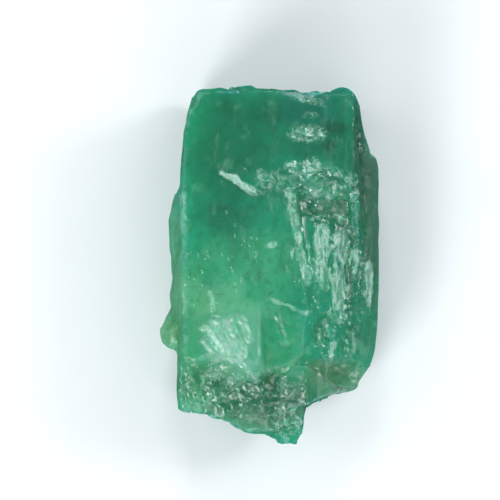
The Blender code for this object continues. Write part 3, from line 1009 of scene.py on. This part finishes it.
    def facet_normal(self, sheet: Sheet, place: object) -> Socket:
        """Grain the surface and tilt it by cells, each as flat as a little cleaved face.

        Steep faces are leant upward as well, so that they mirror the lamps more than the floor.

        Args:
            sheet: The material's sheet.
            place: The position's socket, in millimetres.

        Returns:
            The tilted normal's socket.
        """
        bump = sheet.add("ShaderNodeBump")
        sheet.feed(bump, "Height", sheet.cloud(place, 7.0, 5.0, (1.0, 0.8, 1.0), 1.0))
        sheet.feed(bump, "Strength", self.grain_strength)
        sheet.feed(bump, "Distance", self.grain_height)
        normal = bump.outputs[0]
        broken = sheet.add("ShaderNodeAttribute", attribute_name="broken")
        share = sheet.maths("MAXIMUM", self.least_broken, broken.outputs["Fac"])
        centred = sheet.add("ShaderNodeVectorMath", operation="SUBTRACT")
        sheet.feed(centred, 0, self.cells(sheet, place, Break.RUBBLE, "F1").outputs["Color"])
        sheet.feed(centred, 1, (0.5, 0.5, 0.5))
        tilt = sheet.add("ShaderNodeVectorMath", operation="SCALE")
        sheet.feed(tilt, 0, centred.outputs[0])
        sheet.feed(tilt, "Scale", sheet.maths("MULTIPLY", share, self.facet_tilt))
        parts = sheet.add("ShaderNodeSeparateXYZ")
        sheet.feed(parts, 0, normal)
        steep = sheet.maths("MULTIPLY", sheet.rise(parts.outputs[2], 0.0, 0.08),
                            sheet.rise(parts.outputs[2], 0.5, 0.9, self.upright, 0.0))
        lift = sheet.add("ShaderNodeCombineXYZ")
        sheet.feed(lift, 2, steep)
        raised = sheet.add("ShaderNodeVectorMath", operation="ADD")
        sheet.feed(raised, 0, normal)
        sheet.feed(raised, 1, lift.outputs[0])
        tilted = sheet.add("ShaderNodeVectorMath", operation="ADD")
        sheet.feed(tilted, 0, raised.outputs[0])
        sheet.feed(tilted, 1, tilt.outputs[0])
        unit = sheet.add("ShaderNodeVectorMath", operation="NORMALIZE")
        sheet.feed(unit, 0, tilted.outputs[0])
        return unit.outputs[0]

    def position(self, sheet: Sheet) -> Socket:
        """Give the position on the crystal.

        Args:
            sheet: The material's sheet.

        Returns:
            The position's socket, in millimetres.
        """
        coordinates = sheet.add("ShaderNodeTexCoord")
        node = sheet.add("ShaderNodeMapping")
        sheet.feed(node, "Vector", coordinates.outputs["Object"])
        sheet.feed(node, "Scale", (1.0 / MM, 1.0 / MM, 1.0 / MM))
        return node.outputs[0]

    def surface(self, sheet: Sheet, place: object) -> tuple[Socket, Socket]:
        """Colour and polish the stone: its tints, among them painted shade, a painted shadow and a
        painted reflection, its drifts, the plateau's painted sheen and the painted glints.

        Args:
            sheet: The material's sheet.
            place: The position's socket, in millimetres.

        Returns:
            The colour's and the roughness's sockets.
        """
        plain = (1.0, 1.0, 1.0)
        wander = sheet.maths("SUBTRACT", sheet.cloud(place, 0.9, 3.0, plain), 0.5)
        waver = sheet.maths("MULTIPLY", wander, 1.2)
        colour = self.body
        gloss = sheet.cloud(place, 2.2, 4.0, plain, 6.0)
        roughness = sheet.rise(gloss, 0.35, 0.7, *self.polish)
        zone = zone_group()
        for tint in self.tints:
            node = sheet.add("ShaderNodeGroup", node_tree=zone, label=tint.name)
            sheet.feed(node, "Place", place)
            sheet.feed(node, "Centre", (*tint.centre, 0.0))
            sheet.feed(node, "Radii", (*tint.radii, 1.0))
            sheet.feed(node, "Waver", waver)
            share = sheet.maths("MULTIPLY", node.outputs["Mask"], tint.share)
            colour = sheet.mix(share, colour, tint.colour)
            if tint.dull:
                roughness = sheet.maths("ADD", roughness, sheet.maths("MULTIPLY", share, tint.dull))

        for drift in self.drifts:
            cloud = sheet.cloud(place, drift.waves, drift.detail, (1.0, drift.along, 1.0), drift.offset)
            share = sheet.maths("MULTIPLY", sheet.rise(cloud, *drift.band), drift.share)
            colour = sheet.mix(share, colour, drift.colour)
        # The plateau is painted pale as a sheen of caught light.
        pale = sheet.add("ShaderNodeAttribute", attribute_name="pale")
        share = sheet.maths("MULTIPLY", pale.outputs["Fac"], self.plateau_share)
        colour = sheet.mix(share, colour, MILK_AND_SHEEN)
        # Pale glints are painted on the broken facets, which also roughen them.
        for kind in Break:
            painted_glint = self.painted_glint(sheet, place, kind)
            colour = sheet.mix(painted_glint, colour, self.glint_paint)
            dulled = sheet.maths("MULTIPLY", painted_glint, self.painted_glint_roughness)
            roughness = sheet.maths("ADD", roughness, dulled)
        return colour, roughness

    def build(self) -> bpy.types.Material:
        """Make the material.

        Returns:
            The emerald material.
        """
        material = bpy.data.materials.new("emerald")
        material.use_nodes = True
        sheet = Sheet(material.node_tree)
        shader = material.node_tree.nodes["Principled BSDF"]
        output = material.node_tree.nodes["Material Output"]
        place = self.position(sheet)
        colour, roughness = self.surface(sheet, place)
        sheet.feed(shader, "Base Color", colour)
        sheet.feed(shader, "Roughness", roughness)
        sheet.feed(shader, "Normal", self.facet_normal(sheet, place))
        shader.inputs["Metallic"].default_value = 0.0
        shader.inputs["IOR"].default_value = self.ior
        shader.inputs["Specular IOR Level"].default_value = self.sheen
        shader.inputs["Transmission Weight"].default_value = self.transmission
        shader.inputs["Subsurface Weight"].default_value = self.subsurface
        shader.inputs["Subsurface Radius"].default_value = self.subsurface_radius
        shader.inputs["Subsurface Scale"].default_value = self.subsurface_scale
        soak = sheet.add("ShaderNodeVolumeAbsorption")
        soak.inputs["Color"].default_value = self.absorption
        soak.inputs["Density"].default_value = self.density
        material.node_tree.links.new(soak.outputs[0], output.inputs["Volume"])
        return material


@dataclass(frozen=True)
class Lamp:
    """A rectangular soft light that looks at the crystal."""

    name: str
    azimuth: float
    elevation: float
    distance: float
    size: float
    radiance: float

    def power(self) -> float:
        """Work out the lamp's power.

        Returns:
            The watts that give the lamp its brightness over its own area.
        """
        return self.radiance * math.pi * self.size ** 2


@dataclass
class Studio:
    """The pale floor, the soft light and the camera straight above."""

    floor_size: float = 0.6
    floor_height: float = -0.00002
    floor_colour: Colour = (0.715, 0.757, 0.783, 1.0)
    world_colour: Colour = (0.94, 0.98, 1.0, 1.0)
    world_strength: float = 0.42
    camera_height: float = 0.25
    frame_width: float = 0.02
    frame_centre: Point = (-0.00078, 0.00062)
    sensor: float = 36.0
    lamps: tuple[Lamp, ...] = (
        Lamp("key_right", 18.0, 42.0, 0.35, 0.08, 14.0),
        Lamp("key_left", 232.0, 43.0, 0.35, 0.13, 12.5),
        Lamp("key_front", 275.0, 36.0, 0.35, 0.1, 5.0),
        Lamp("key_back", 95.0, 48.0, 0.35, 0.07, 15.0),
        Lamp("box_left", 165.0, 45.0, 0.4, 0.24, 1.6),
        Lamp("box_front", 300.0, 50.0, 0.4, 0.24, 1.35),
        Lamp("box_right", 30.0, 50.0, 0.4, 0.24, 1.6),
    )
    aim: Vector = field(default_factory=lambda: Vector((0.0, 0.0, 0.004)))

    def floor(self) -> bpy.types.Object:
        """Lay the pale floor.

        Returns:
            The floor.
        """
        bpy.ops.object.select_all(action="DESELECT")
        bpy.ops.mesh.primitive_plane_add(size=self.floor_size, location=(0.0, 0.0, self.floor_height))
        floor = bpy.context.active_object
        floor.name = "floor"
        material = bpy.data.materials.new("pale_floor")
        material.use_nodes = True
        shader = material.node_tree.nodes["Principled BSDF"]
        shader.inputs["Base Color"].default_value = self.floor_colour
        shader.inputs["Roughness"].default_value = 0.9
        shader.inputs["Specular IOR Level"].default_value = 0.0
        floor.data.materials.append(material)
        return floor

    def lights(self) -> None:
        """Hang the lamps and set the even light all round."""
        for lamp in self.lamps:
            data = bpy.data.lights.new(lamp.name, "AREA")
            data.shape = "SQUARE"
            data.size = lamp.size
            data.energy = lamp.power()
            light = bpy.data.objects.new(lamp.name, data)
            bpy.context.scene.collection.objects.link(light)
            azimuth = math.radians(lamp.azimuth)
            elevation = math.radians(lamp.elevation)
            way = Vector((math.cos(azimuth) * math.cos(elevation),
                          math.sin(azimuth) * math.cos(elevation), math.sin(elevation)))
            light.location = self.aim + way * lamp.distance
            light.rotation_euler = way.to_track_quat("Z", "Y").to_euler()
        world = bpy.data.worlds.new("soft_light")
        world.use_nodes = True
        background = world.node_tree.nodes["Background"]
        background.inputs["Color"].default_value = self.world_colour
        background.inputs["Strength"].default_value = self.world_strength
        bpy.context.scene.world = world

    def camera(self) -> bpy.types.Object:
        """Hang the camera straight above, far off, with a long lens.

        Returns:
            The camera.
        """
        data = bpy.data.cameras.new("camera")
        data.sensor_width = self.sensor
        data.lens = self.sensor * self.camera_height / self.frame_width
        data.clip_start = 0.001
        camera = bpy.data.objects.new("camera", data)
        bpy.context.scene.collection.objects.link(camera)
        camera.location = (*self.frame_centre, self.camera_height + self.aim.z)
        bpy.context.scene.camera = camera
        return camera

    def build(self) -> None:
        """Set up the whole stage."""
        self.camera()
        self.floor()
        self.lights()
        bpy.context.scene.view_settings.view_transform = "Standard"


def main() -> None:
    """Build the crystal and its stage, and attach the crystal to its body."""
    logging.basicConfig(level=logging.INFO, format="%(name)s %(message)s")
    Studio().build()
    crystal = CrystalSkin().build()
    crystal.data.materials.clear()
    crystal.data.materials.append(EmeraldStone().build())
    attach(crystal, BODY)
    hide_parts(NODE)
    LOG.info("crystal rides on %s and stands for %s", BODY, NODE)


if __name__ == "__main__":
    main()
